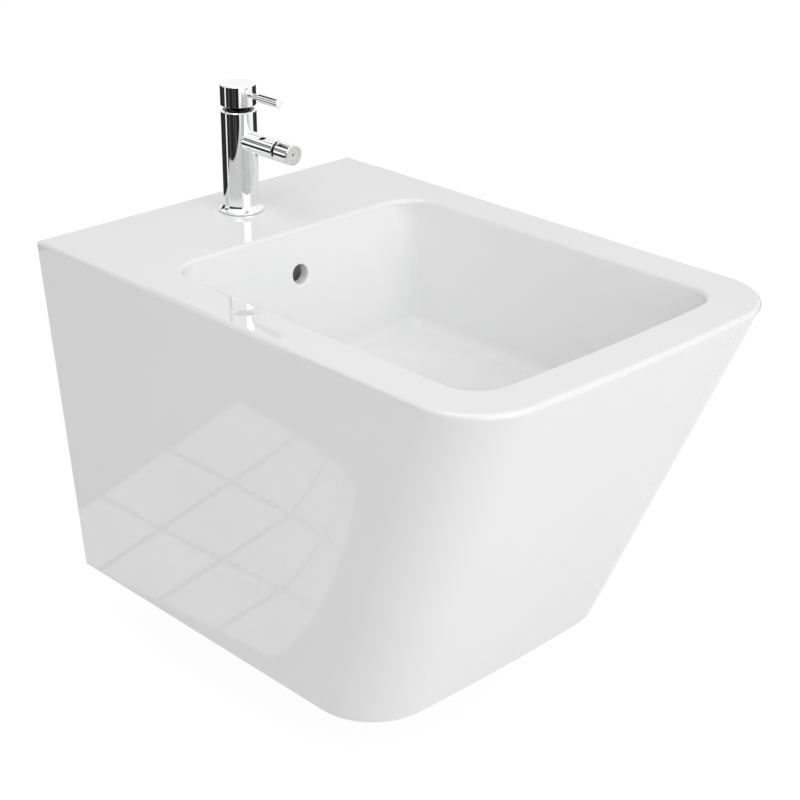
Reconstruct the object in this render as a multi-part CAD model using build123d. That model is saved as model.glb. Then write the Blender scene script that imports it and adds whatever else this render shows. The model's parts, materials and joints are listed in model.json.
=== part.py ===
from build123d import *
from functools import cache
from math import atan2, cos, exp, hypot, radians, sin, sqrt, tan
import os

# Wall-hung bidet with a single-lever mixer tap, a push-to-close waste and its wall fixings.
# The origin is midway between the two wall studs, on the face of the wall.
# X points to the right of someone facing the bidet, -Y out from the wall, +Z up.

# General clearances
moving_gap = 0.3       # between pieces that move against each other
fit_gap = 0.12         # radial, between pieces that are fixed together
seat_gap = 0.02        # between faces that rest on each other
nut_chamfer = 30.0     # degrees, on the corners of hexagonal nuts

# Outside of the ceramic
body_width = 360.0
body_depth = 521.5
body_height = 328.0
body_top = 80.0                      # height of the deck above the wall studs
foot_width = 310.4
foot_depth = 388.0
top_corner = 60.0
foot_corner = 58.0
top_bow = 6.2                        # how far the front bulges at mid width
foot_bow = 4.9
rim_round = 3.5
foot_round = 4.0
body_foot = body_top - body_height

# Basin
side_rim = 39.1                      # width of the rim beside the basin
front_rim = 39.1
basin_half_width = body_width / 2 - side_rim
basin_back = 129.2                   # distance from the wall
basin_front = body_depth - front_rim
basin_depth = 119.5
basin_bow = 3.7                      # how far its front bulges at mid width
basin_corner = 39.0                  # at the deck, where the corners flare
basin_low_corner = 15.0              # below the flare
flare_depth = 9.0                    # over which the flare falls to a third
side_draft = 4.7
back_draft = 7.8
front_draft = 12.0
lip_round = 3.5
floor_round = 11.0
floor_fall = 7.0                     # from the edge of the floor to the drain
basin_floor = body_top - basin_depth

# Walls of the hollow moulding
shell_wall = 10.0
deck_wall = 13.0
rear_wall = 13.0
foot_wall = 10.0
service_half_width = 62.0            # opening in the rear wall
service_top = 22.0
service_corner = 20.0
reach_half_width = 100.0             # opening in the underside
reach_beyond_drain = 54.0
reach_corner = 26.0
past = 1.0                           # how far a cut runs past what it cuts

# Drain and overflow
drain_ahead = 140.8                  # from the back of the basin
drain_out = basin_back + drain_ahead
drain_hole_r = 23.0
drain_boss_r = 38.0
drain_boss_height = 27.0
flange_recess_r = 33.0
flange_recess = 3.0
floor_land = 1.5                     # flat of the floor round the recess
overflow_hole_r = 8.7
overflow_edge = 1.6                  # rounding of its mouth
overflow_drop = 40.5                 # centre of the overflow below the deck
duct_headroom = 4.0                  # above the overflow hole
duct_width = 34.0
duct_depth = 16.0
duct_wall = 8.0
duct_floor_height = 11.0
duct_cover = 5.0                     # between the duct and the flange recess
basin_wall_behind = 10.0             # ceramic between the basin and the duct
drain_top = basin_floor - floor_fall - flange_recess
drain_foot = drain_top - drain_boss_height

# Wall fixings
stud_spacing = 180.0
stud_r = 6.0                         # in the wall
stud_shank_r = 5.85                  # in front of the wall, with the nut's thread
stud_in_wall = 45.0
stud_out = 62.0
stud_end_chamfer = 1.0
stud_hole_r = 11.0
stud_boss_r = 23.0
stud_boss_length = 36.0
sleeve_set_back = 1.0                # from the face of the wall
sleeve_flange_r = 16.5
sleeve_flange = 3.0
wall_washer_r = 15.0
wall_washer = 2.5
wall_nut_flats = 19.0
wall_nut_height = 10.0

# Mixer tap. Heights are above the deck.
tap_out = 55.0                       # distance of the tap from the wall
tap_hole_r = 17.5
tap_r = 16.0
tap_body_top = 92.0
base_ring_height = 7.0
base_ring_r = 20.0
base_ring_foot = 0.4
base_ring_lip = 1.9
base_ring_neck_r = 18.9
base_ring_cove = 0.6                 # how far the neck curves in
base_seal_in = 1.6                   # metal of the ring inside its seal
base_seal_out = 0.7
base_seal_top = 1.5
spigot_r = 14.9
tap_body_edge = 0.8
spigot_foot = 1.0
port_r = 4.5
port_half_spacing = 7.0
port_forward = 4.0
port_depth = 10.0
inlet_r = 3.0
tap_stud_back = 9.0
tap_stud_r = 4.0
tap_stud_depth = 24.0
tap_stud_below = 46.0                # below the underside of the deck
tap_stud_chamfer = 0.6
clamp_r = 24.0
clamp_pad = 3.0
clamp_plate = 2.0
clamp_back = 2.0                     # the crescents' ends, behind the tap's axis
clamp_corner = 1.5
clamp_nut_flats = 13.0
clamp_nut_height = 12.0

# Cartridge inside the tap body
cartridge_floor = 50.0
cartridge_bore_r = 13.0
cartridge_shoulder = 83.3
nut_bore_r = 14.0
housing_roof = 2.2
disc_gap = 0.4                       # round the fixed disc, inside the housing
base_height = 5.0
port_throat_r = 2.5                  # of the two ports in the cartridge's base
ring_seat_r = 4.0                    # of the seals in the mouths of the ports
ring_seat_depth = 1.6
ring_slack = 0.1
disc_port_half_spacing = 5.6
disc_height = 4.0
fixed_disc_r = 10.5
moving_disc_r = 8.2
moving_disc_rest = 2.4               # the shut disc stands this far behind the axis
disc_port_r = 2.2
tongue_height = 4.0                  # of the moving disc's guide
tongue_reach = 4.2
tongue_play = 3.0                    # beyond its travel, in the rotor's slot
tongue_headroom = 0.8
arm_slot_reach = 6.6
rotor_neck_r = 8.0
rotor_top = 84.3
slot_width = 6.0
pivot_height = 80.0
pin_r = 1.2
pin_running_gap = 0.05
pin_set_in = 0.6                     # from the side of the rotor's neck
spindle_width = 5.0
spindle_eye_below = 3.2              # how far the square goes below the pivot
spindle_arm_r = 1.5
spindle_ball_r = 2.0
spindle_ball_play = 0.4
spindle_ball_height = 66.0
dome_r = 17.5
dome_mouth_r = 9.0
dome_set_in = 0.4                    # its shoulder, below the top of the body

# Cap and lever
cap_foot = 96.5
cap_top = 115.0
cap_skirt_r = 14.2
cap_ceiling = 98.3
cap_edge = 0.8
socket_top = 110.3
socket_play = 0.4                    # above the spindle
lever_height = 107.5
stem_r = 2.25
stem_length = 14.0
grip_r = 4.0
grip_length = 25.5
grip_edge = 0.7
grip_bore = 8.0
grip_bore_play = 0.5

# Spout and swivelling nozzle. Distances are from the tap's axis.
spout_height = 66.0
spout_r = 9.25
spout_bore_r = 7.3
spout_spigot_r = 7.1
spout_spigot_out = 29.5
spigot_bore_r = 4.5
ball_out = 49.5                      # centre of the ball
ball_r = 6.8
ball_film = 0.06                     # between the ball and its plastic seat
seat_lead = 0.2                      # small cone that leads into the ball's seat
seat_lip = 0.9
lip_out = 3.5                        # retaining lip, ahead of the ball's centre
spout_end_out = 4.0                  # flat end of the spout
swivel_gap = 3.0                     # open ring between the spout and the nozzle
swivel_edge = 0.3
nozzle_end_out = 23.8
nozzle_edge = 0.7
neck_r = 4.0
neck_bore_r = 2.6
neck_end_out = 11.0
nozzle_bore_r = 7.6
nozzle_floor_out = 12.3
seat_bore_r = 4.3
insert_length = 9.0
insert_set_in = 0.4                  # from the nozzle's end
insert_groove_r = 6.2
insert_groove = 0.7
insert_ring_r = 4.6
insert_ring_set_in = 0.2
insert_dish_r = 3.2
insert_dish = 0.9
jet_r = 1.3
insert_seal = 1.5
insert_seal_bore_r = 5.0

# Waste and plug
waste_flange_r = 31.5
waste_flange = 2.4
flange_edge = 0.8
flange_bevel = 2.4                   # width of the sloping edge on top
flange_dish = 0.6                    # fall of the flange towards the mouth
flange_seal = 0.6                    # thickness of the seal under the flange
flange_seal_inset = 1.0
flange_seal_gap = 2.0                # between that seal and the tube
mouth_land = 1.5
mouth_depth = 3.4
waste_r = 20.95
waste_bore_r = 18.2
waste_length = 83.0
tail_length = 27.0
groove_height = 2.0
groove_depth = 0.8
slot_height = 9.0
slot_span = 40.0                     # degrees of each overflow slot
spider_drop = 31.0
spider_height = 4.0
spider_bar = 5.0
spider_hub_r = 9.0
bottom_seal_r = 30.0
bottom_seal_height = 8.0
seal_cone = 3.0                      # height of its part inside the drain hole
seal_cone_taper = 0.6
waste_washer_r = 29.0
waste_washer_height = 1.5
waste_nut_r = 29.0
waste_nut_height = 12.0
notches = 8
notch_r = 4.0
notch_out = 1.0                      # centres of the notches, beyond the nut's edge
notch_stop = 3.0                     # plain band left at the top
barrel_r = 6.5
barrel_height = 25.0
barrel_floor = 2.0
barrel_tail_r = 4.2
barrel_tail = 3.0                    # below the spider
plunger_r = 3.5
plunger_length = 26.0
tip_r = 2.5                          # of the plunger, in the plug
tip_length = 1.8
tip_play = 0.2
plug_r = 29.5
plug_thickness = 3.0
plug_dome = 2.0
plug_brim = 1.4                      # thickness of its edge
plug_skirt_r = 20.5
plug_skirt_flare = 1.0
plug_seal_r = 24.5
plug_seal_height = 1.2
plug_travel = 8.0


def cylinder_up(radius, low, high, x=0, y=0):
    """A cylinder that stands between two heights."""
    return Pos(x, y, low) * Cylinder(
        radius, high - low, align=(Align.CENTER, Align.CENTER, Align.MIN)
    )


def cylinder_out(radius, near, far, x=0, z=0, y=0):
    """A cylinder that lies along -Y, between two distances in front of y."""
    lying = Rot(90, 0, 0) * Cylinder(
        radius, far - near, align=(Align.CENTER, Align.CENTER, Align.MIN)
    )
    return Pos(x, y - near, z) * lying


def block(x_low, x_high, y_low, y_high, z_low, z_high):
    """A box between two corners."""
    corner = (Align.MIN, Align.MIN, Align.MIN)
    size = (x_high - x_low, y_high - y_low, z_high - z_low)
    return Pos(x_low, y_low, z_low) * Box(*size, align=corner)


def turned_up(points, x=0, y=0):
    """A solid of revolution about a vertical axis, from (radius, height) points."""
    outline = Polyline(*[(r, 0, h) for r, h in points], close=True)
    return Pos(x, y, 0) * revolve(make_face(outline), Axis.Z)


def hexagon(flats, height):
    """A hexagonal nut blank that stands on the origin, with its corners turned down."""
    corner_r = flats / 2 / cos(radians(30))
    turned = (corner_r - flats / 2) * tan(radians(nut_chamfer))
    blank = turned_up(
        [
            (0, 0),
            (flats / 2, 0),
            (corner_r, turned),
            (corner_r, height - turned),
            (flats / 2, height),
            (0, height),
        ]
    )
    return blank & extrude(RegularPolygon(flats / 2, 6, major_radius=False), height)


def profile(points, arcs=()):
    """Edges through (radius, distance) points; an arc's middle point replaces its chord."""
    edges = []
    for start, end in zip(points, points[1:] + points[:1]):
        middle = dict(arcs).get((start, end))
        ends = ((start[0], 0, start[1]), (end[0], 0, end[1]))
        if middle is None:
            edges.append(Line(*ends))
        else:
            edges.append(ThreePointArc(ends[0], (middle[0], 0, middle[1]), ends[1]))
    return edges


def shell_outline(width, depth, corner, bow, back=0.0):
    """The plan of the moulding: flat back, straight sides, round corners, bowed front."""
    half = width / 2
    front_r = (half * half + bow * bow) / (2 * bow)
    front_y = front_r - depth
    corner_x = half - corner
    corner_y = front_y - sqrt((front_r - corner) ** 2 - corner_x**2)
    lean = atan2(front_y - corner_y, corner_x)
    reach = front_r / (front_r - corner)
    join = (corner_x * reach, front_y + (corner_y - front_y) * reach)
    middle = (corner_x + corner * cos(lean / 2), corner_y - corner * sin(lean / 2))
    side = (half, corner_y)

    def across(point):
        return (-point[0], point[1])

    edges = [
        Line((-half, back), (half, back)),
        Line((half, back), side),
        ThreePointArc(side, middle, join),
        ThreePointArc(join, (0, -depth), across(join)),
        ThreePointArc(across(join), across(middle), across(side)),
        Line(across(side), (-half, back)),
    ]
    return make_face(edges)


def rim_loss(overhang):
    """What the rounded rim takes off a wall that leans out by an overhang."""
    return rim_round * (hypot(overhang, body_height) + overhang - body_height) / body_height


def shell_plan_at(height, inset=0.0):
    """The plan of the moulding at a height, drawn in by an inset."""
    share = (height - body_foot) / body_height
    sharp_width = body_width + 2 * rim_loss((body_width - foot_width) / 2)
    sharp_depth = body_depth + rim_loss(body_depth - foot_depth)

    def between(foot, top):
        return foot + (top - foot) * share

    plan = shell_outline(
        between(foot_width, sharp_width) - 2 * inset,
        between(foot_depth, sharp_depth) - inset,
        between(foot_corner, top_corner) - inset,
        between(foot_bow, top_bow),
        past,
    )
    return Pos(0, 0, height) * plan


def basin_plan_at(height, offset=0.0):
    """The plan of the basin at a height, drawn out by an offset."""
    drop = body_top - height
    half = basin_half_width - drop * tan(radians(side_draft)) + offset
    back = basin_back + drop * tan(radians(back_draft)) - offset
    front = basin_front - drop * tan(radians(front_draft)) + offset
    flare = (basin_corner - basin_low_corner) * exp(-drop / flare_depth)
    corner = basin_low_corner + flare + offset
    plan = shell_outline(2 * half, front, corner, basin_bow, -back)
    rear_corners = plan.vertices().group_by(Axis.Y)[-1]
    return Pos(0, 0, height) * fillet(rear_corners, corner)


def basin_space(offset=0.0, above=1.0):
    """The hollow of the basin, or the block that surrounds it at an offset."""
    heights = [body_top - share * flare_depth for share in (4.5, 3, 2, 1)] + [body_top + above]
    flare = loft([basin_plan_at(height, offset) for height in heights])
    ends = [basin_plan_at(height, offset) for height in (basin_floor - offset, heights[0])]
    bowl = loft(ends, ruled=True)
    return fillet(bowl.faces().sort_by(Axis.Z)[0].edges(), floor_round + offset / 2) + flare


def basin_fall():
    """The shallow fall of the basin floor to the drain."""
    wide_r = drain_out - basin_back - basin_depth * tan(radians(back_draft)) - floor_round
    return turned_up(
        [
            (0, basin_floor + past),
            (wide_r, basin_floor + past),
            (wide_r, basin_floor),
            (flange_recess_r + floor_land, basin_floor - floor_fall),
            (0, basin_floor - floor_fall),
        ],
        y=-drain_out,
    )


def overflow_place():
    """How far from the wall the overflow hole meets the basin's back face."""
    return basin_back + overflow_drop * tan(radians(back_draft))


def duct_space(wall=0.0):
    """The overflow duct, behind the basin and then under its floor to the drain."""
    half = duct_width / 2 + wall
    slope = tan(radians(back_draft))
    top = body_top - overflow_drop + overflow_hole_r + duct_headroom
    low_top = drain_top - duct_cover
    low = low_top - duct_floor_height
    behind_top = basin_back + (body_top - top) * slope - basin_wall_behind
    behind_low = basin_back + (body_top - low) * slope - basin_wall_behind
    fall = Polyline(
        (0, -behind_top, top + wall),
        (0, -behind_top + duct_depth + wall, top + wall),
        (0, -behind_low + duct_depth + wall, low - wall),
        (0, -behind_low, low - wall),
        close=True,
    )
    behind = extrude(make_face(fall), half, both=True)
    under = block(-half, half, -drain_out, -behind_low + duct_depth, low - wall, low_top + wall)
    return behind + under


def hollow_space():
    """The hollow inside the moulding, open to the service openings."""
    top = body_top - deck_wall
    foot = body_foot + foot_wall
    inner = loft([shell_plan_at(foot, shell_wall), shell_plan_at(top, shell_wall)], ruled=True)
    space = inner & block(
        -body_width, body_width, -body_depth, -rear_wall, body_foot, body_top
    )
    space -= basin_space(shell_wall, 0)
    space -= duct_space(duct_wall)
    return space - drain_boss() - stud_bosses()


def drain_boss():
    return cylinder_up(drain_boss_r, drain_foot, basin_floor, y=-drain_out)


def stud_bosses():
    bosses = [
        cylinder_out(stud_boss_r, 0, stud_boss_length, x=x)
        for x in (-stud_spacing / 2, stud_spacing / 2)
    ]
    return bosses[0] + bosses[1]


@cache
def moulding():
    """The whole ceramic: raked shell, basin, deck, overflow duct and fixing bosses."""
    outside = loft([shell_plan_at(body_foot), shell_plan_at(body_top)], ruled=True)
    outside -= block(-body_width, body_width, 0, 2 * past, body_foot - past, body_top + past)
    rim = outside.faces().sort_by(Axis.Z)[-1].edges()
    outside = fillet(rim, rim_round)
    foot = outside.faces().sort_by(Axis.Z)[0].edges()
    outside = fillet(foot.filter_by(lambda edge: edge.center().Y < -past), foot_round)
    body = outside - basin_space()
    lip = body.edges().filter_by(
        lambda edge: abs(edge.center().Z - body_top) < 0.01
        and abs(edge.center().X) < basin_half_width + past
        and -basin_front - past < edge.center().Y < -basin_back + past
    )
    body = fillet(lip, lip_round)
    body -= basin_fall()
    body -= hollow_space()
    body -= duct_space()
    body -= cylinder_up(drain_hole_r, drain_foot - past, basin_floor, y=-drain_out)
    body -= cylinder_up(
        flange_recess_r, drain_top, basin_floor - floor_fall + past, y=-drain_out
    )
    body -= cylinder_out(
        overflow_hole_r,
        overflow_place() - basin_wall_behind - duct_depth / 2,
        overflow_place() + overflow_hole_r,
        z=body_top - overflow_drop,
    )
    mouth = Vector(0, -overflow_place(), body_top - overflow_drop)
    mouth_edge = body.edges().filter_by(
        lambda edge: (edge.center(CenterOf.BOUNDING_BOX) - mouth).length < past
    )
    body = fillet(mouth_edge, overflow_edge)
    body -= cylinder_up(
        tap_hole_r, body_top - deck_wall - past, body_top + past, y=-tap_out
    )
    for x in (-stud_spacing / 2, stud_spacing / 2):
        body -= cylinder_out(stud_hole_r, -past, stud_boss_length + past, x=x)
    return body - service_openings()


def service_openings():
    """The opening in the rear wall for pipes, and the one below for hands."""
    half = service_half_width
    foot = body_foot - past
    rear = block(-half, half, -rear_wall - past, past, foot, service_top)
    rear = fillet(rear.edges().filter_by(Axis.Y).group_by(Axis.Z)[-1], service_corner)
    reach = drain_out + reach_beyond_drain - rear_wall
    below = Pos(0, -reach / 2 - rear_wall, foot) * extrude(
        RectangleRounded(2 * reach_half_width, reach, reach_corner), foot_wall + 2 * past
    )
    corner_end = -rear_wall - reach_corner - past
    link = block(-half, half, corner_end, past, foot, body_foot + foot_wall + past)
    return rear + below + link


# The ceramic is one fired piece. It is kept as touching solids, joined where its castings
# are luted together, so that a simulation's convex pieces leave the hollow inside it open.
deck_under = body_top - deck_wall


@cache
def bowl_zone():
    """The part of the ceramic below the deck that belongs to the basin."""
    boss = drain_boss()
    return basin_space(shell_wall, 0) + duct_space(duct_wall) + boss


def slab(low, high):
    """Everything between two heights."""
    return block(-body_width, body_width, -body_depth, past, low, high)


def ceramic_basin():
    """The deck with its rim, and the bowl that hangs from it with its duct."""
    deck = moulding() & slab(deck_under, body_top + past)
    bowl = moulding() & bowl_zone() & slab(body_foot, deck_under)
    return Compound(deck.solids() + bowl.solids())


def ceramic_shell():
    """The raked walls, the foot and the rear wall with its two bosses."""
    shell = (moulding() & slab(body_foot - past, deck_under)) - bowl_zone()
    return shell


def both_studs(piece):
    """One piece at each of the two wall studs."""
    places = [Pos(x, 0, 0) for x in (-stud_spacing / 2, stud_spacing / 2)]
    return Compound([solid for place in places for solid in (place * piece).solids()])


def wall_studs():
    """Double-ended studs: one thread in the wall, a slightly thinner one for the nut."""
    in_wall = cylinder_out(stud_r, 0, stud_in_wall, y=stud_in_wall)
    in_wall = chamfer(in_wall.edges().group_by(Axis.Y)[-1], stud_end_chamfer)
    ahead = cylinder_out(stud_shank_r, 0, stud_out)
    ahead = chamfer(ahead.edges().group_by(Axis.Y)[0], stud_end_chamfer)
    return both_studs(in_wall + ahead)


def wall_sleeves():
    shank = cylinder_out(stud_hole_r - moving_gap, sleeve_set_back, stud_boss_length + seat_gap)
    flange_near = stud_boss_length + seat_gap
    flange = cylinder_out(sleeve_flange_r, flange_near, flange_near + sleeve_flange)
    hole = cylinder_out(stud_shank_r + fit_gap, 0, stud_out)
    return both_studs(shank + flange - hole)


washer_near = stud_boss_length + sleeve_flange + 2 * seat_gap
nut_near = washer_near + wall_washer + seat_gap


def wall_washers():
    ring = cylinder_out(wall_washer_r, washer_near, washer_near + wall_washer)
    return both_studs(ring - cylinder_out(stud_shank_r + moving_gap, 0, stud_out))


def wall_nuts():
    nut = hexagon(wall_nut_flats, wall_nut_height)
    nut -= cylinder_up(stud_shank_r + fit_gap, -past, wall_nut_height + past)
    return both_studs(Pos(0, -nut_near, 0) * Rot(90, 0, 0) * nut)


def at_tap(piece):
    """Moves a piece drawn about the tap's own axis and the deck to its place."""
    return Pos(0, -tap_out, body_top) * piece


def tap_body():
    """The body: cartridge bore, two inlets, stud hole and the spigot of the spout."""
    body = turned_up(
        [
            (0, spigot_foot),
            (spigot_r, spigot_foot),
            (spigot_r, base_ring_height + seat_gap),
            (tap_r, base_ring_height + seat_gap),
            (tap_r, tap_body_top - tap_body_edge),
            (tap_r - tap_body_edge, tap_body_top),
            (0, tap_body_top),
        ]
    )
    body += cylinder_out(spout_spigot_r, cartridge_bore_r, spout_spigot_out, z=spout_height)
    body -= cylinder_up(cartridge_bore_r, cartridge_floor, tap_body_top + past)
    body -= cylinder_up(nut_bore_r, cartridge_shoulder, tap_body_top + past)
    body -= cylinder_out(spigot_bore_r, 0, spout_spigot_out + past, z=spout_height)
    for x in (-port_half_spacing, port_half_spacing):
        body -= cylinder_up(port_r, 0, spigot_foot + port_depth, x=x, y=-port_forward)
        body -= cylinder_up(inlet_r, 0, cartridge_floor + past, x=x, y=-port_forward)
    body -= cylinder_up(
        tap_stud_r + fit_gap, 0, spigot_foot + tap_stud_depth + past, y=tap_stud_back
    )
    return at_tap(body)


def tap_base_ring():
    """The skirt at the foot of the tap: a thin flange under a hollow-curved neck."""
    flange = (base_ring_neck_r, base_ring_lip)
    body = (tap_r, base_ring_height)
    lean = hypot(flange[0] - body[0], body[1] - flange[1])
    across = (body[1] - flange[1]) / lean * base_ring_cove
    down = (flange[0] - body[0]) / lean * base_ring_cove
    cove = ((flange[0] + body[0]) / 2 - across, (flange[1] + body[1]) / 2 - down)
    points = [
        (spigot_r + fit_gap, base_ring_foot),
        (base_ring_r, base_ring_foot),
        (base_ring_r, base_ring_lip),
        flange,
        body,
        (spigot_r + fit_gap, base_ring_height),
    ]
    ring = revolve(make_face(profile(points, {(flange, body): cove})), Axis.Z)
    outer_edge = ring.edges().filter_by(
        lambda edge: edge.geom_type == GeomType.CIRCLE and edge.radius > base_ring_r - fit_gap
    )
    ring = fillet(outer_edge, base_ring_foot)
    return at_tap(ring - seal_groove(fit_gap))


def seal_groove(grow=0.0):
    """The space of the seal under the skirt ring."""
    inner = spigot_r + base_seal_in
    outer = base_ring_neck_r - base_seal_out
    return turned_up(
        [
            (inner - grow, seat_gap - grow),
            (outer + grow, seat_gap - grow),
            (outer + grow, base_seal_top + grow),
            (inner - grow, base_seal_top + grow),
        ]
    )


def tap_base_seal():
    return at_tap(seal_groove())


pad_top = -deck_wall - seat_gap
plate_top = pad_top - clamp_pad - seat_gap
clamp_nut_top = plate_top - clamp_plate - seat_gap


def tap_stud():
    foot = -deck_wall - tap_stud_below
    stud = cylinder_up(tap_stud_r, foot, spigot_foot + tap_stud_depth, y=tap_stud_back)
    return at_tap(chamfer(stud.edges(), tap_stud_chamfer))


def horseshoe(thickness, top):
    """A crescent that bears on the ceramic and leaves the hoses free."""
    shoe = cylinder_up(clamp_r, top - thickness, top)
    low = top - thickness - past
    shoe -= block(-clamp_r, clamp_r, -clamp_r, clamp_back, low, top + past)
    shoe -= cylinder_up(tap_stud_r + moving_gap, low, top + past, y=tap_stud_back)
    return fillet(shoe.edges().filter_by(Axis.Z).group_by(Axis.Y)[0], clamp_corner)


def tap_clamp_pad():
    return at_tap(horseshoe(clamp_pad, pad_top))


def tap_clamp_plate():
    return at_tap(horseshoe(clamp_plate, plate_top))


def tap_clamp_nut():
    nut = hexagon(clamp_nut_flats, clamp_nut_height)
    nut -= cylinder_up(tap_stud_r + fit_gap, -past, clamp_nut_height + past)
    return at_tap(Pos(0, tap_stud_back, clamp_nut_top - clamp_nut_height) * nut)


housing_r = cartridge_bore_r - fit_gap
housing_bore_r = fixed_disc_r + disc_gap
base_foot = cartridge_floor + seat_gap
base_top = base_foot + base_height
fixed_disc_foot = base_top + seat_gap
moving_disc_foot = fixed_disc_foot + disc_height + moving_gap
moving_disc_top = moving_disc_foot + disc_height
rotor_foot = moving_disc_top + moving_gap
housing_top = cartridge_shoulder - seat_gap


def cartridge_housing():
    """The cartridge's sleeve, with a window that lets the mixed water out to the spout."""
    sleeve = turned_up(
        [
            (housing_bore_r, base_foot),
            (housing_r, base_foot),
            (housing_r, housing_top),
            (rotor_neck_r + moving_gap, housing_top),
            (rotor_neck_r + moving_gap, housing_top - housing_roof),
            (housing_bore_r, housing_top - housing_roof),
        ]
    )
    return at_tap(sleeve - cylinder_out(spigot_bore_r, 0, tap_r, z=spout_height))


def cartridge_base():
    """The disc that closes the sleeve below and leads the two inlets up."""
    base = cylinder_up(housing_bore_r - fit_gap, base_foot, base_top)
    for x in (-disc_port_half_spacing, disc_port_half_spacing):
        base -= cylinder_up(port_throat_r, 0, base_top + past, x=x, y=-port_forward)
        base -= cylinder_up(ring_seat_r, 0, base_foot + ring_seat_depth, x=x, y=-port_forward)
    return at_tap(base)


def cartridge_seals():
    """One rubber ring in the mouth of each inlet."""
    rings = []
    outer = ring_seat_r - ring_slack
    top = base_foot + ring_seat_depth - ring_slack
    for x in (-disc_port_half_spacing, disc_port_half_spacing):
        ring = cylinder_up(outer, base_foot, top, x=x, y=-port_forward)
        ring -= cylinder_up(port_throat_r, 0, base_top, x=x, y=-port_forward)
        rings += at_tap(ring).solids()
    return Compound(rings)


def cartridge_fixed_disc():
    disc = cylinder_up(fixed_disc_r, fixed_disc_foot, fixed_disc_foot + disc_height)
    for x in (-disc_port_half_spacing, disc_port_half_spacing):
        disc -= cylinder_up(disc_port_r, 0, pivot_height, x=x, y=-port_forward)
    return at_tap(disc)


tongue_top = moving_disc_top + tongue_height


def cartridge_moving_disc():
    """The moving disc with its guide tongue; the spindle's ball works in its pocket."""
    disc = cylinder_up(moving_disc_r, moving_disc_foot, moving_disc_top, y=moving_disc_rest)
    half = slot_width / 2 - moving_gap
    disc += block(-half, half, -tongue_reach, tongue_reach, moving_disc_top, tongue_top)
    pocket_r = spindle_ball_r + spindle_ball_play
    disc -= cylinder_up(pocket_r, spindle_ball_height - pocket_r, tongue_top + past)
    return at_tap(disc)


def cartridge_rotor():
    """Turns with the cap; its slot guides the moving disc and holds the pivot pin."""
    rotor = turned_up(
        [
            (0, rotor_foot),
            (housing_bore_r - moving_gap, rotor_foot),
            (housing_bore_r - moving_gap, housing_top - housing_roof - moving_gap),
            (rotor_neck_r, housing_top - housing_roof - moving_gap),
            (rotor_neck_r, rotor_top),
            (0, rotor_top),
        ]
    )
    half = slot_width / 2
    reach = tongue_reach + moving_disc_rest + tongue_play
    slot_top = tongue_top + tongue_headroom
    rotor -= block(-half, half, -reach, reach, rotor_foot - past, slot_top)
    rotor -= block(-half, half, -arm_slot_reach, arm_slot_reach, tongue_top, rotor_top + past)
    pin_space = Rot(0, 90, 0) * Cylinder(pin_r + fit_gap / 2, 2 * housing_bore_r)
    return at_tap(rotor - Pos(0, 0, pivot_height) * pin_space)


def cartridge_pin():
    pin = Rot(0, 90, 0) * Cylinder(pin_r, 2 * (rotor_neck_r - pin_set_in))
    return at_tap(Pos(0, 0, pivot_height) * pin)


def cartridge_spindle():
    """Square above the pivot for the cap's socket, round below with a ball end."""
    low = spindle_ball_height
    square = block(
        -spindle_width / 2,
        spindle_width / 2,
        -spindle_width / 2,
        spindle_width / 2,
        pivot_height - spindle_eye_below,
        socket_top - socket_play,
    )
    arm = cylinder_up(spindle_arm_r, low, pivot_height)
    ball = Pos(0, 0, low) * Sphere(spindle_ball_r)
    eye = Rot(0, 90, 0) * Cylinder(pin_r + pin_running_gap, 2 * spindle_width)
    return at_tap(square + arm + ball - Pos(0, 0, pivot_height) * eye)


def dome_nut():
    """Screws into the body over the cartridge; its dome is a ball about the pivot."""
    foot = cartridge_shoulder + seat_gap
    thread_r = nut_bore_r - fit_gap
    shoulder = tap_body_top - dome_set_in
    shoulder_r = sqrt(dome_r**2 - (shoulder - pivot_height) ** 2)
    mouth_height = pivot_height + sqrt(dome_r**2 - dome_mouth_r**2)
    middle_r = (shoulder_r + dome_mouth_r) / 2
    middle_height = pivot_height + sqrt(dome_r**2 - middle_r**2)
    with_arc = [
        Line((dome_mouth_r, 0, foot), (thread_r, 0, foot)),
        Line((thread_r, 0, foot), (thread_r, 0, shoulder)),
        Line((thread_r, 0, shoulder), (shoulder_r, 0, shoulder)),
        ThreePointArc(
            (shoulder_r, 0, shoulder),
            (middle_r, 0, middle_height),
            (dome_mouth_r, 0, mouth_height),
        ),
        Line((dome_mouth_r, 0, mouth_height), (dome_mouth_r, 0, foot)),
    ]
    return at_tap(revolve(make_face(with_arc), Axis.Z))


def lever_cap():
    """The cap: hollow skirt over the dome, square socket and the lever's hole."""
    cap = cylinder_up(tap_r, cap_foot, cap_top)
    cap = fillet(cap.edges().group_by(Axis.Z)[-1], cap_edge)
    cap = chamfer(cap.edges().group_by(Axis.Z)[0], cap_edge / 2)
    cap -= cylinder_up(cap_skirt_r, cap_foot - past, cap_ceiling)
    half = spindle_width / 2 + fit_gap
    cap -= block(-half, half, -half, half, cap_ceiling - past, socket_top)
    cap -= cylinder_out(stem_r + fit_gap, 0, tap_r + past, z=lever_height)
    return at_tap(cap)


def lever_stem():
    near = spindle_width / 2 + seat_gap
    far = tap_r + stem_length + grip_bore
    return at_tap(cylinder_out(stem_r, near, far, z=lever_height))


def lever_grip():
    near = tap_r + stem_length
    grip = cylinder_out(grip_r, near, near + grip_length, z=lever_height)
    grip = fillet(grip.edges().group_by(Axis.Y)[0], grip_edge)
    grip = fillet(grip.edges().group_by(Axis.Y)[-1], grip_edge / 2)
    bore_end = near + grip_bore + grip_bore_play
    grip -= cylinder_out(stem_r + fit_gap, near - past, bore_end, z=lever_height)
    return at_tap(grip)


def turned_out(edges):
    """A solid of revolution about the spout's axis, from edges drawn as (radius, distance)."""
    lying = Rot(90, 0, 0) * revolve(make_face(edges), Axis.Z)
    return at_tap(Pos(0, 0, spout_height) * lying)


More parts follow.
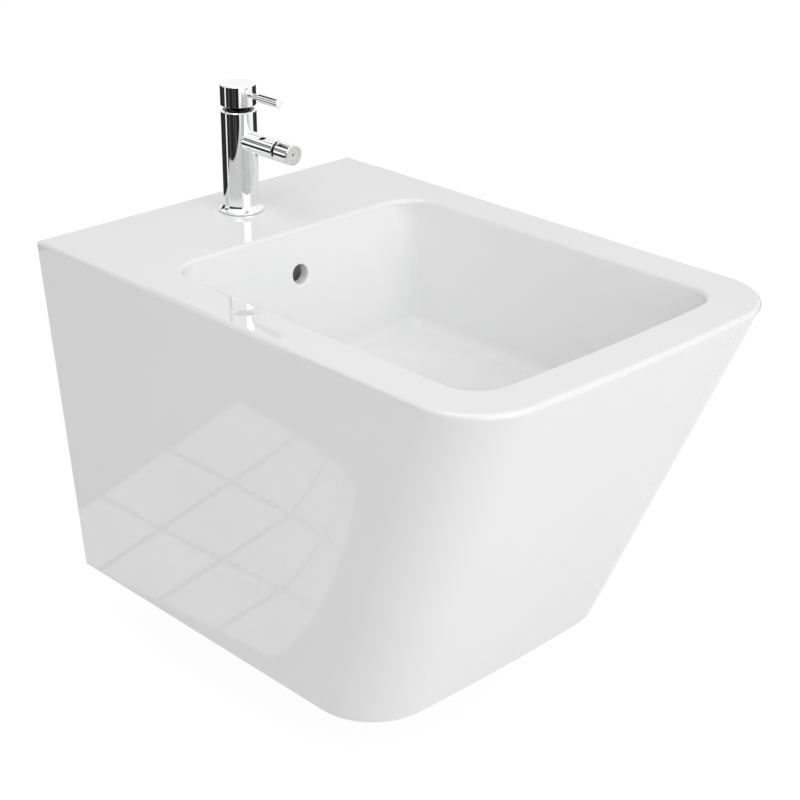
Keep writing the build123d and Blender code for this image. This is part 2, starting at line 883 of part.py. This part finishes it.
def on_ball(radius, across):
    """Distance from the tap's axis to a ball about the swivel's centre, at a radius across."""
    return ball_out + sqrt(radius**2 - across**2)


def spout_tube():
    """The fixed tube: saddle end on the body and a retaining lip round the ball."""
    seat_r = ball_r + moving_gap
    mouth_r = sqrt(seat_r**2 - lip_out**2)
    end = ball_out + spout_end_out
    seat_edge = (seat_r, ball_out)
    lip = (mouth_r, ball_out + lip_out)
    seat_mid_r = (seat_r + mouth_r) / 2
    points = [
        (spout_bore_r, cartridge_bore_r),
        (spout_bore_r, ball_out - seat_lead),
        seat_edge,
        lip,
        (mouth_r, end),
        (spout_r - swivel_edge, end),
        (spout_r, end - swivel_edge),
        (spout_r, cartridge_bore_r),
    ]
    seat_mid = (seat_mid_r, on_ball(seat_r, seat_mid_r))
    tube = turned_out(profile(points, {(seat_edge, lip): seat_mid}))
    return tube - at_tap(cylinder_up(tap_r + seat_gap, 0, tap_body_top))


def ball_seat():
    """The plastic sleeve behind the ball; it turns in the spout with the ball."""
    outer = spout_bore_r - moving_gap
    touch_r = ball_r + ball_film
    near = spout_spigot_out + moving_gap
    rim_r = outer - seat_lip
    rim = (rim_r, ball_out - sqrt(touch_r**2 - rim_r**2))
    throat = (seat_bore_r, ball_out - sqrt(touch_r**2 - seat_bore_r**2))
    middle_r = (rim_r + seat_bore_r) / 2
    middle = (middle_r, ball_out - sqrt(touch_r**2 - middle_r**2))
    points = [(seat_bore_r, near), (outer, near), (outer, rim[1]), rim, throat]
    return turned_out(profile(points, {(rim, throat): middle}))


def nozzle_ball():
    """The bored ball and the neck that screws into the nozzle."""
    ball = Pos(0, 0, ball_out) * Sphere(ball_r)
    neck = cylinder_up(neck_r, ball_out, ball_out + neck_end_out)
    bore = cylinder_up(neck_bore_r, 0, ball_out + neck_end_out + past)
    return at_tap(Pos(0, 0, spout_height) * Rot(90, 0, 0) * (ball + neck - bore))


def nozzle_housing():
    """The swivelling end: socket for the ball's neck, chamber and open front."""
    socket_r = neck_r + fit_gap
    back = ball_out + spout_end_out + swivel_gap
    end = ball_out + nozzle_end_out
    floor = ball_out + nozzle_floor_out
    points = [
        (socket_r, back),
        (spout_r - swivel_edge, back),
        (spout_r, back + swivel_edge),
        (spout_r, end - nozzle_edge),
        (spout_r - nozzle_edge, end),
        (nozzle_bore_r, end),
        (nozzle_bore_r, floor),
        (socket_r, floor),
    ]
    return turned_out(profile(points))


insert_end = ball_out + nozzle_end_out - insert_set_in
insert_near = insert_end - insert_length


def flow_insert():
    """The flow former in the open front, with a raised ring and a central jet."""
    outer = nozzle_bore_r - fit_gap
    points = [
        (jet_r, insert_near),
        (outer, insert_near),
        (outer, insert_end),
        (insert_groove_r, insert_end),
        (insert_groove_r, insert_end - insert_groove),
        (insert_ring_r, insert_end - insert_groove),
        (insert_ring_r, insert_end - insert_ring_set_in),
        (insert_dish_r, insert_end - insert_ring_set_in),
        (insert_dish_r, insert_end - insert_dish),
        (jet_r, insert_end - insert_dish),
    ]
    return turned_out(profile(points))


def flow_insert_seal():
    near = insert_near - seat_gap - insert_seal
    outer = nozzle_bore_r - fit_gap
    points = [
        (insert_seal_bore_r, near),
        (outer, near),
        (outer, near + insert_seal),
        (insert_seal_bore_r, near + insert_seal),
    ]
    return turned_out(profile(points))


flange_foot = drain_top + flange_seal
flange_top = flange_foot + waste_flange
waste_foot = flange_top - waste_length
tail_top = waste_foot + tail_length         # the trap's nut screws on below this
slot_middle = drain_top - duct_cover - duct_floor_height / 2
bottom_seal_top = drain_foot - seat_gap
washer_top = bottom_seal_top - bottom_seal_height - seat_gap
waste_nut_top = washer_top - waste_washer_height - seat_gap
spider_top = flange_top - spider_drop


def waste_body():
    """Flanged tube with four overflow slots and a three-armed spider for the plug."""
    tube = turned_up(
        [
            (waste_bore_r, waste_foot),
            (waste_r, waste_foot),
            (waste_r, tail_top),
            (waste_r - groove_depth, tail_top),
            (waste_r - groove_depth, tail_top + groove_height),
            (waste_r, tail_top + groove_height),
            (waste_r, flange_foot),
            (waste_flange_r, flange_foot),
            (waste_flange_r, flange_top - flange_edge),
            (waste_flange_r - flange_bevel, flange_top),
            (waste_r + mouth_land, flange_top - flange_dish),
            (waste_bore_r, flange_top - mouth_depth),
        ]
    )
    slot = Rotation(0, 0, -slot_span / 2) * revolve(
        Plane.XZ
        * Pos(waste_r, slot_middle)
        * Rectangle(3 * (waste_r - waste_bore_r), slot_height),
        Axis.Z,
        slot_span,
    )
    for turn in (0, 90, 180, 270):
        tube -= Rotation(0, 0, turn) * slot
    spider_foot = spider_top - spider_height
    spider = cylinder_up(spider_hub_r, spider_foot, spider_top)
    for turn in (45, 165, 285):
        half = spider_bar / 2
        bar = block(0, waste_bore_r + past, -half, half, spider_foot, spider_top)
        spider += Rotation(0, 0, turn) * bar
    tube += spider
    tube -= cylinder_up(barrel_tail_r + fit_gap, spider_foot - past, spider_top + past)
    return Pos(0, -drain_out, 0) * tube


def waste_top_seal():
    outer = waste_flange_r - flange_seal_inset
    ring = cylinder_up(outer, drain_top + seat_gap, flange_foot - seat_gap)
    ring -= cylinder_up(waste_r + flange_seal_gap, drain_top - past, flange_top)
    return Pos(0, -drain_out, 0) * ring


def waste_bottom_seal():
    """The tapered rubber ring that the back nut draws up into the drain hole."""
    ring = turned_up(
        [
            (waste_r + fit_gap, bottom_seal_top - bottom_seal_height),
            (bottom_seal_r, bottom_seal_top - bottom_seal_height),
            (bottom_seal_r, bottom_seal_top),
            (drain_hole_r - fit_gap, bottom_seal_top),
            (drain_hole_r - fit_gap - seal_cone_taper, bottom_seal_top + seal_cone),
            (waste_r + fit_gap, bottom_seal_top + seal_cone),
        ]
    )
    return Pos(0, -drain_out, 0) * ring


def waste_washer():
    foot = washer_top - waste_washer_height
    ring = cylinder_up(waste_washer_r, foot, washer_top)
    ring -= cylinder_up(waste_r + fit_gap, foot - past, washer_top + past)
    return Pos(0, -drain_out, 0) * ring


def waste_nut():
    """Round back nut with grip notches."""
    foot = waste_nut_top - waste_nut_height
    nut = cylinder_up(waste_nut_r, foot, waste_nut_top)
    notch = cylinder_up(notch_r, foot - past, waste_nut_top - notch_stop, x=waste_nut_r + notch_out)
    for step in range(notches):
        nut -= Rotation(0, 0, 360 / notches * step) * notch
    nut -= cylinder_up(waste_r + fit_gap, foot - past, waste_nut_top + past)
    return Pos(0, -drain_out, 0) * nut


plug_foot = flange_top + plug_travel        # the plug is shown open
barrel_foot = spider_top + seat_gap


def plug_barrel():
    """The guide that stands on the spider; its tail is screwed through the boss."""
    top = barrel_foot + barrel_height
    barrel = cylinder_up(barrel_r, barrel_foot, top)
    tail_foot = spider_top - spider_height - barrel_tail
    barrel += cylinder_up(barrel_tail_r, tail_foot, barrel_foot + past)
    barrel -= cylinder_up(plunger_r + moving_gap, barrel_foot + barrel_floor, top + past)
    return Pos(0, -drain_out, 0) * barrel


def plug_plunger():
    plunger = cylinder_up(plunger_r, plug_foot - plunger_length, plug_foot - seat_gap)
    plunger += cylinder_up(tip_r, plug_foot - past, plug_foot + tip_length)
    return Pos(0, -drain_out, 0) * plunger


def plug_cap():
    """A low dome over a short skirt that carries the rubber ring."""
    edge = plug_foot + plug_thickness
    dome_radius = (plug_r**2 + plug_dome**2) / (2 * plug_dome)
    half_r = plug_r / 2
    half_height = edge + plug_dome - dome_radius + sqrt(dome_radius**2 - half_r**2)
    points = [
        (0, edge + plug_dome),
        (0, plug_foot),
        (plug_skirt_r, plug_foot),
        (plug_skirt_r + plug_skirt_flare, edge - plug_brim),
        (plug_r, edge - plug_brim),
        (plug_r, edge),
    ]
    edges = profile(points, {(points[-1], points[0]): (half_r, half_height)})
    cap = revolve(make_face(edges), Axis.Z)
    cap -= cylinder_up(tip_r + fit_gap, plug_foot - past, plug_foot + tip_length + tip_play)
    return Pos(0, -drain_out, 0) * cap


def plug_seal():
    """The rubber ring round the skirt, under the dome."""
    top = plug_foot + plug_thickness - plug_brim - seat_gap
    foot = top - plug_seal_height
    ring = cylinder_up(plug_seal_r, foot, top)
    ring -= cylinder_up(plug_skirt_r + plug_skirt_flare + fit_gap, foot - past, top + past)
    return Pos(0, -drain_out, 0) * ring


pieces = [
    ceramic_shell,
    ceramic_basin,
    wall_studs,
    wall_sleeves,
    wall_washers,
    wall_nuts,
    tap_body,
    tap_base_ring,
    tap_base_seal,
    tap_stud,
    tap_clamp_pad,
    tap_clamp_plate,
    tap_clamp_nut,
    cartridge_housing,
    cartridge_base,
    cartridge_seals,
    cartridge_fixed_disc,
    cartridge_moving_disc,
    cartridge_rotor,
    cartridge_pin,
    cartridge_spindle,
    dome_nut,
    lever_cap,
    lever_stem,
    lever_grip,
    spout_tube,
    ball_seat,
    nozzle_ball,
    nozzle_housing,
    flow_insert,
    flow_insert_seal,
    waste_body,
    waste_top_seal,
    waste_bottom_seal,
    waste_washer,
    waste_nut,
    plug_barrel,
    plug_plunger,
    plug_cap,
    plug_seal,
]

if __name__ == "__main__":
    os.makedirs("parts", exist_ok=True)
    for piece in pieces:
        export_step(piece(), f"parts/{piece.__name__}.step")
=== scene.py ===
import json
import math

import bmesh
import bpy
from mathutils import Matrix, Vector


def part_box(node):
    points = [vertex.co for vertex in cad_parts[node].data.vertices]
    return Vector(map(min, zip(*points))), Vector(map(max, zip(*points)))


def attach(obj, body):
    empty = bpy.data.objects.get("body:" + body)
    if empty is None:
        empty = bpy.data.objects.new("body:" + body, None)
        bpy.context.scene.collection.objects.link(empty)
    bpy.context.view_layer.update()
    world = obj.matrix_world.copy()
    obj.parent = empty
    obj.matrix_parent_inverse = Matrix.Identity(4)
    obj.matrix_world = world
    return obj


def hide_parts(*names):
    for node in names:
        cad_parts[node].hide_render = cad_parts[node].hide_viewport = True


# A wall-hung bidet: white glazed ceramic, a chrome lever mixer and a chrome push plug.
# Metres. The wall is the plane y = 0, the user stands at -Y, z = 0 is level with the wall studs.
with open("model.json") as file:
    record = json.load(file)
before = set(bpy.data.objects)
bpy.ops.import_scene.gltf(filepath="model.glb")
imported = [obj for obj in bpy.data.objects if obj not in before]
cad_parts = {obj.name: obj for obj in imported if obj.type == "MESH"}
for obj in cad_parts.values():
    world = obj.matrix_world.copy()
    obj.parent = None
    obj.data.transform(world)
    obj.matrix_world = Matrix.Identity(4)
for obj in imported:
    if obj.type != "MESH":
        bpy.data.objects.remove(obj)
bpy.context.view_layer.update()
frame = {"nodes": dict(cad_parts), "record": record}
nodes = frame["nodes"]
mm = 0.001


# camera
camera = {
    "place": (-0.959275, -1.241559, 0.588650),
    "turn": (65.394, -0.3487, -44.178),   # degrees
    "lens": 79.974,
    "sensor": 36.0,
    "clip": (0.01, 50.0),
}


def makeCamera():
    data = bpy.data.cameras.new("studioCamera")
    data.lens = camera["lens"]
    data.sensor_width = camera["sensor"]
    data.clip_start, data.clip_end = camera["clip"]
    cam = bpy.data.objects.new("studioCamera", data)
    cam.location = camera["place"]
    cam.rotation_euler = [math.radians(a) for a in camera["turn"]]
    bpy.context.scene.collection.objects.link(cam)
    bpy.context.scene.camera = cam


# small helpers for node trees
noiseRoughness = 0.55
noiseBand = (0.3, 0.7)   # the part of a noise's range that a finish uses


def newMaterial(name):
    mat = bpy.data.materials.new(name)
    mat.use_nodes = True
    tree = mat.node_tree
    return mat, tree, tree.nodes["Principled BSDF"]


def objectPoint(tree, stretch=(1, 1, 1)):
    coord = tree.nodes.new("ShaderNodeTexCoord")
    mapping = tree.nodes.new("ShaderNodeMapping")
    mapping.inputs["Scale"].default_value = stretch
    tree.links.new(coord.outputs["Object"], mapping.inputs["Vector"])
    return mapping.outputs["Vector"]


def noiseField(tree, scale, detail, stretch=(1, 1, 1)):
    noise = tree.nodes.new("ShaderNodeTexNoise")
    noise.inputs["Scale"].default_value = scale
    noise.inputs["Detail"].default_value = detail
    noise.inputs["Roughness"].default_value = noiseRoughness
    tree.links.new(objectPoint(tree, stretch), noise.inputs["Vector"])
    return noise.outputs["Fac"]


def spread(tree, value, low, high, band=noiseBand):
    remap = tree.nodes.new("ShaderNodeMapRange")
    remap.inputs["From Min"].default_value = band[0]
    remap.inputs["From Max"].default_value = band[1]
    remap.inputs["To Min"].default_value = low
    remap.inputs["To Max"].default_value = high
    tree.links.new(value, remap.inputs["Value"])
    return remap.outputs["Result"]


def twoTone(tree, value, dark, light):
    ramp = tree.nodes.new("ShaderNodeValToRGB")
    for stop, place, tone in zip(ramp.color_ramp.elements, noiseBand, (dark, light)):
        stop.position = place
        stop.color = (*tone, 1)
    tree.links.new(value, ramp.inputs["Fac"])
    return ramp.outputs["Color"]


def mixedBy(tree, factor, first, second):
    mix = tree.nodes.new("ShaderNodeMixShader")
    for socket, source in zip(mix.inputs, (factor, first, second)):
        tree.links.new(source, socket)
    return mix.outputs["Shader"]


# a factor for rays from the camera or off shiny pieces, and 0 for the rest
def rayShare(tree, share):
    path = tree.nodes.new("ShaderNodeLightPath")
    total = path.outputs["Is Camera Ray"]
    for name in ("Is Glossy Ray", "Is Transmission Ray"):
        most = tree.nodes.new("ShaderNodeMath")
        most.operation = "MAXIMUM"
        tree.links.new(total, most.inputs[0])
        tree.links.new(path.outputs[name], most.inputs[1])
        total = most.outputs[0]
    scale = tree.nodes.new("ShaderNodeMath")
    scale.operation = "MULTIPLY"
    scale.inputs[1].default_value = share
    tree.links.new(total, scale.inputs[0])
    return scale.outputs[0]


# finishes
# a pattern is (scale, detail) or (scale, detail, stretch)
# colour and roughness each follow a pattern from low to high
# a bump is (pattern, strength, depth in metres)
whiteGlaze = {
    "patterns": {"broad": (7.0, 2.0), "pooled": (38.0, 4.0)},
    "colour": ("broad", (0.912, 0.915, 0.916), (0.930, 0.931, 0.928)),
    "roughness": ("pooled", 0.012, 0.030),
    "ior": 1.52,
    "bumps": [("broad", 0.05, 1.0 * mm), ("pooled", 0.02, 0.08 * mm)],
}
polishedChrome = {
    "patterns": {"haze": (90.0, 4.0), "fine": (900.0, 2.0)},
    "colour": ("haze", (0.90, 0.905, 0.91), (0.95, 0.952, 0.955)),
    "roughness": ("haze", 0.020, 0.050),
    "metal": True,
    "bumps": [("fine", 0.03, 0.05 * mm)],
}
# chrome painted near-black as painted shade, for the plated faces deep in a joint, which see little
# but shadow
shadowPaintedChrome = {
    "patterns": {"haze": (120.0, 4.0)},
    "colour": ("haze", (0.045, 0.045, 0.048), (0.08, 0.08, 0.083)),
    "roughness": ("haze", 0.10, 0.20),
    "metal": True,
    "bumps": [("haze", 0.04, 0.05 * mm)],
}
zincPlate = {
    "patterns": {"spangle": (320.0, 3.0), "grain": (1500.0, 2.0)},
    "colour": ("spangle", (0.50, 0.52, 0.54), (0.68, 0.69, 0.68)),
    "roughness": ("spangle", 0.28, 0.42),
    "metal": True,
    "bumps": [("grain", 0.12, 0.06 * mm)],
}
whitePlastic = {
    "patterns": {"cloud": (60.0, 3.0), "grain": (1300.0, 2.0)},
    "colour": ("cloud", (0.70, 0.70, 0.68), (0.78, 0.78, 0.76)),
    "roughness": ("cloud", 0.38, 0.52),
    "bumps": [("grain", 0.15, 0.05 * mm)],
}
greyPlastic = {**whitePlastic, "colour": ("cloud", (0.22, 0.23, 0.25), (0.30, 0.31, 0.33))}
blackRubber = {
    "patterns": {"bloom": (140.0, 4.0), "grain": (1100.0, 3.0)},
    "colour": ("bloom", (0.018, 0.018, 0.019), (0.040, 0.040, 0.041)),
    "roughness": ("bloom", 0.58, 0.74),
    "bumps": [("grain", 0.25, 0.08 * mm)],
}
turnedBrass = {
    "patterns": {"rings": (260.0, 3.0, (1, 1, 14)), "stain": (120.0, 3.0)},
    "colour": ("stain", (0.56, 0.41, 0.19), (0.74, 0.58, 0.30)),
    "roughness": ("rings", 0.20, 0.36),
    "metal": True,
    "bumps": [("rings", 0.12, 0.06 * mm)],
}
lappedDisc = {
    "patterns": {"cloud": (300.0, 3.0)},
    "colour": ("cloud", (0.66, 0.64, 0.58), (0.76, 0.74, 0.69)),
    "roughness": ("cloud", 0.18, 0.28),
    "bumps": [("cloud", 0.05, 0.03 * mm)],
}


def makeFinish(name, look):
    mat, tree, shader = newMaterial(name)
    fields = {key: noiseField(tree, *pattern) for key, pattern in look["patterns"].items()}
    key, dark, light = look["colour"]
    tree.links.new(twoTone(tree, fields[key], dark, light), shader.inputs["Base Color"])
    key, low, high = look["roughness"]
    tree.links.new(spread(tree, fields[key], low, high), shader.inputs["Roughness"])
    if look.get("metal"):
        shader.inputs["Metallic"].default_value = 1.0
    if "ior" in look:
        shader.inputs["IOR"].default_value = look["ior"]
    target = shader.inputs["Normal"]
    for key, strength, depth in reversed(look["bumps"]):
        bump = tree.nodes.new("ShaderNodeBump")
        bump.inputs["Strength"].default_value = strength
        bump.inputs["Distance"].default_value = depth
        tree.links.new(fields[key], bump.inputs["Height"])
        tree.links.new(bump.outputs["Normal"], target)
        target = bump.inputs["Normal"]   # the layer listed before it lies under it
    return mat


finishes = {
    "glaze": makeFinish("whiteGlaze", whiteGlaze),
    "chrome": makeFinish("polishedChrome", polishedChrome),
    "zinc_steel": makeFinish("zincPlate", zincPlate),
    "white_plastic": makeFinish("whitePlastic", whitePlastic),
    "grey_plastic": makeFinish("greyPlastic", greyPlastic),
    "black_rubber": makeFinish("blackRubber", blackRubber),
    "brass": makeFinish("turnedBrass", turnedBrass),
    "disc_ceramic": makeFinish("lappedDisc", lappedDisc),
}
# the dome nut and the nozzle ball take the painted-shade chrome: a painted shadow in place of their
# own bright chrome
shadowPaintedFaces = {name: makeFinish("shadowPaintedChrome", shadowPaintedChrome) for name in ("nozzle_ball", "dome_nut")}


def dressNodes():
    for part in frame["record"]["subparts"]:
        piece = nodes[part["node"]]
        piece.data.materials.clear()
        piece.data.materials.append(shadowPaintedFaces.get(part["node"], finishes[part["material_slot"]]))


def makeObject(bm, name, mat):
    mesh = bpy.data.meshes.new(name)
    bm.to_mesh(mesh)
    bm.free()
    piece = bpy.data.objects.new(name, mesh)
    piece.data.materials.append(mat)
    bpy.context.scene.collection.objects.link(piece)
    return piece


# threads, which the plain solids leave out
studs = {"pitch": 1.75 * mm, "depth": 0.9 * mm, "chamfer": 1.0 * mm}
tapStud = {"pitch": 1.25 * mm, "depth": 0.65 * mm, "chamfer": 0.6 * mm}
thread = {
    "crest": (0.40, 0.60),   # where the crest starts and ends, as a share of the pitch
    "sides": 32,
    "merge": 0.001 * mm,
    "sharpFrom": 35,         # degrees
}


# a rod along Z from low to high, with a ridge and a groove for every turn of its thread
def threadedRod(radius, low, high, cut):
    pitch, depth, chamfer = cut["pitch"], cut["depth"], cut["chamfer"]
    rise, fall = thread["crest"]
    turns = int((high - low - 2 * chamfer) / pitch)
    start = (low + high - turns * pitch) / 2
    outline = [(0, low), (radius - chamfer, low), (radius - depth, start)]
    for k in range(turns):
        foot = start + k * pitch
        outline += [(radius, foot + rise * pitch), (radius, foot + fall * pitch)]
        outline += [(radius - depth, foot + pitch)]
    outline += [(radius - chamfer, high), (0, high)]
    bm = bmesh.new()
    points = [bm.verts.new((r, 0, z)) for r, z in outline]
    edges = [bm.edges.new(pair) for pair in zip(points, points[1:])]
    bmesh.ops.spin(bm, geom=points + edges, cent=(0, 0, 0), axis=(0, 0, 1),
                   angle=2 * math.pi, steps=thread["sides"], use_merge=True)
    bmesh.ops.remove_doubles(bm, verts=bm.verts, dist=thread["merge"])
    bmesh.ops.recalc_face_normals(bm, faces=bm.faces)
    return bm


def finishThread(bm, name, node):
    piece = makeObject(bm, name, finishes["zinc_steel"])
    for face in piece.data.polygons:
        face.use_smooth = True
    piece.data.set_sharp_from_angle(angle=math.radians(thread["sharpFrom"]))
    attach(piece, "fixture")
    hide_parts(node)


def makeWallStuds():
    low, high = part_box("wall_studs")
    radius = (high[2] - low[2]) / 2
    level = (low[2] + high[2]) / 2
    layFlat = Matrix.Rotation(math.radians(90), 3, "X")
    both = bmesh.new()
    for side in (-1, 1):
        one = threadedRod(radius, -high[1], -low[1], studs)
        bmesh.ops.rotate(one, verts=one.verts, cent=(0, 0, 0), matrix=layFlat)
        bmesh.ops.translate(one, verts=one.verts, vec=(side * (high[0] - radius), 0, level))
        mesh = bpy.data.meshes.new("oneStud")
        one.to_mesh(mesh)
        one.free()
        both.from_mesh(mesh)
        bpy.data.meshes.remove(mesh)
    finishThread(both, "threadedWallStuds", "wall_studs")


def makeTapStud():
    low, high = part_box("tap_stud")
    centre = ((low[0] + high[0]) / 2, (low[1] + high[1]) / 2, 0)
    rod = threadedRod((high[0] - low[0]) / 2, low[2], high[2], tapStud)
    bmesh.ops.translate(rod, verts=rod.verts, vec=centre)
    finishThread(rod, "threadedTapStud", "tap_stud")


# studio
# the floor is one-sided, so that the underside of the bidet can be seen from below
paperFloor = {
    "height": -0.325,
    "radius": 4.0,
    "sides": 96,
    "shade": (0.77, 0.77, 0.77),
    "roughness": 0.9,
    "glow": 1.09,
    "glowShare": 0.86,   # how much of the glow the camera sees in place of the paper
}


def makeFloor():
    bm = bmesh.new()
    bmesh.ops.create_circle(bm, cap_ends=True, segments=paperFloor["sides"],
                            radius=paperFloor["radius"])
    bmesh.ops.translate(bm, verts=bm.verts, vec=(0, 0, paperFloor["height"]))
    mat, tree, shader = newMaterial("palePaper")
    shader.inputs["Base Color"].default_value = (*paperFloor["shade"], 1)
    shader.inputs["Roughness"].default_value = paperFloor["roughness"]
    glow = tree.nodes.new("ShaderNodeEmission")
    glow.inputs["Strength"].default_value = paperFloor["glow"]
    below = tree.nodes.new("ShaderNodeNewGeometry")
    clear = tree.nodes.new("ShaderNodeBsdfTransparent")
    above = mixedBy(tree, rayShare(tree, paperFloor["glowShare"]),
                    shader.outputs["BSDF"], glow.outputs["Emission"])
    oneSided = mixedBy(tree, below.outputs["Backfacing"], above, clear.outputs["BSDF"])
    tree.links.new(oneSided, tree.nodes["Material Output"].inputs["Surface"])
    floor = makeObject(bm, "studioFloor", mat)
    floor.visible_glossy = False


paleRoom = {"light": 0.55, "shown": 1.0}


def makeSky():
    world = bpy.data.worlds.new("paleRoom")
    bpy.context.scene.world = world
    world.use_nodes = True
    tree = world.node_tree
    tree.nodes.clear()
    skies = []
    for strength in (paleRoom["light"], paleRoom["shown"]):
        sky = tree.nodes.new("ShaderNodeBackground")
        sky.inputs["Color"].default_value = (1, 1, 1, 1)
        sky.inputs["Strength"].default_value = strength
        skies.append(sky.outputs["Background"])
    out = tree.nodes.new("ShaderNodeOutputWorld")
    tree.links.new(mixedBy(tree, rayShare(tree, 1.0), *skies), out.inputs["Surface"])


def reflectedOnly(piece):
    piece.visible_camera = False
    piece.visible_diffuse = False
    piece.visible_shadow = False
    piece.visible_transmission = False


# a window with bars, far off to the left behind, that shows only as a reflection in the glaze
window = {
    "near": (-0.17, -0.25, -0.10),         # the side wall it is seen from
    "away": 5.0,
    "corner": (-0.4972, 0.7051, -0.4704),  # per metre away
    "row": (0.0391, 0.0440, -0.0383),
    "column": (-0.0337, -0.0227, -0.0386),
    "rows": 3,
    "columns": 4,
    "bar": 0.035,                          # half a bar, as a share of a pane
    "cuts": 3,                             # in each edge of a pane, so that it can fold
    "glow": 1.46,
}
# the far panes fold round as they would in a wall that curves towards the front
windowFold = {
    "start": 0.67,
    "slant": 1.19,    # columns that the fold's line moves on for each row
    "reach": 1.53,
    "ease": 1.93,
    "drop": 0.12,
    "draw": 0.86,     # how far the folded panes draw in
}


def makeWindow():
    near, corner, row, column = (Vector(window[k]) for k in ("near", "corner", "row", "column"))
    bm = bmesh.new()
    bmesh.ops.create_grid(bm, x_segments=window["rows"], y_segments=window["columns"], size=0.5)
    panes = bmesh.ops.inset_individual(bm, faces=bm.faces[:], use_even_offset=True,
                                       thickness=window["bar"] / window["columns"])["faces"]
    bmesh.ops.delete(bm, geom=panes, context="FACES_ONLY")
    loose = [v for v in bm.verts if not v.link_faces]
    bmesh.ops.delete(bm, geom=loose, context="VERTS")
    bmesh.ops.subdivide_edges(bm, edges=bm.edges[:], cuts=window["cuts"], use_grid_fill=True)
    for v in bm.verts:
        i, j = (v.co.x + 0.5) * window["rows"], (v.co.y + 0.5) * window["columns"]
        past = max(0, j - windowFold["slant"] * i - windowFold["start"])
        fold = past - windowFold["reach"] * (1 - math.exp(-past / windowFold["ease"]))
        i, j = i + windowFold["drop"] * fold, j - windowFold["draw"] * fold
        v.co = near + window["away"] * (corner + i * row + j * column)
    mat, tree, shader = newMaterial("windowLight")
    shader.inputs["Base Color"].default_value = (0, 0, 0, 1)
    shader.inputs["Emission Color"].default_value = (1, 1, 1, 1)
    shader.inputs["Emission Strength"].default_value = window["glow"]
    reflectedOnly(makeObject(bm, "windowPanes", mat))


# dark cards round the set, seen only in metal and glaze
cards = {
    "centre": (0, -0.055, 0.16),
    "radius": 1.3,
    # from and to, turned from -Y towards -X, then low and high above the horizon, in degrees
    "patches": [
        (35, 120, -22, 14),
        (130, 191, -25, -8),
        (158, 191, -8, 14),
        (-129, -63, -22, -8),
        (128, 156, 8, 15),
        (128, 158, 18, 26),
        (150, 200, -46, -36),
        (150, 200, 40, 45),
    ],
    "step": 4,                     # degrees
    "shade": (0.01, 0.01, 0.01),
    "streaks": (5.0, 3.0, (1, 1, 0.05)),
    "streakBand": (0.50, 0.80),
    "streakGlow": 0.14,
}


def makeCards():
    centre, radius, step = Vector(cards["centre"]), cards["radius"], cards["step"]
    bm = bmesh.new()
    for start, end, low, high in cards["patches"]:
        turn, steps = math.radians(start), max(2, round((high - low) / step))
        side = []
        for k in range(steps + 1):
            lift = math.radians(low + (high - low) * k / steps)
            away = Vector((-math.sin(turn) * math.cos(lift), -math.cos(turn) * math.cos(lift),
                           math.sin(lift)))
            side.append(bm.verts.new(centre + radius * away))
        edges = [bm.edges.new(pair) for pair in zip(side, side[1:])]
        bmesh.ops.spin(bm, geom=side + edges, cent=centre, axis=(0, 0, 1),
                       angle=-math.radians(end - start), steps=max(4, round((end - start) / step)))
    mat, tree, shader = newMaterial("blackCard")
    shader.inputs["Base Color"].default_value = (*cards["shade"], 1)
    shader.inputs["Roughness"].default_value = 1.0
    shader.inputs["Emission Color"].default_value = (1, 1, 1, 1)
    glow = spread(tree, noiseField(tree, *cards["streaks"]), 0.0, cards["streakGlow"],
                  cards["streakBand"])
    tree.links.new(glow, shader.inputs["Emission Strength"])
    reflectedOnly(makeObject(bm, "darkCards", mat))


lamps = {
    "frontBox": {"place": (-0.10, -2.60, 0.95), "aim": (0.0, -0.25, -0.05),
                 "size": (2.0, 1.6), "power": 23.0},
    "topBox": {"place": (-0.75, -0.45, 1.5), "aim": (0.05, -0.26, 0.0),
               "size": (0.9, 0.9), "power": 5.2},
}


def makeLamps():
    for name, box in lamps.items():
        data = bpy.data.lights.new(name, "AREA")
        data.shape = "RECTANGLE"
        data.size, data.size_y = box["size"]
        data.energy = box["power"]
        lamp = bpy.data.objects.new(name, data)
        lamp.location = box["place"]
        sight = Vector(box["aim"]) - Vector(box["place"])
        lamp.rotation_euler = sight.to_track_quat("-Z", "Y").to_euler()
        lamp.visible_camera = False
        bpy.context.scene.collection.objects.link(lamp)


print("camera")
makeCamera()
print("finishes")
dressNodes()
print("threads")
makeWallStuds()
makeTapStud()
print("studio")
makeFloor()
makeSky()
makeWindow()
makeCards()
makeLamps()

bpy.context.scene.view_settings.view_transform = "Standard"
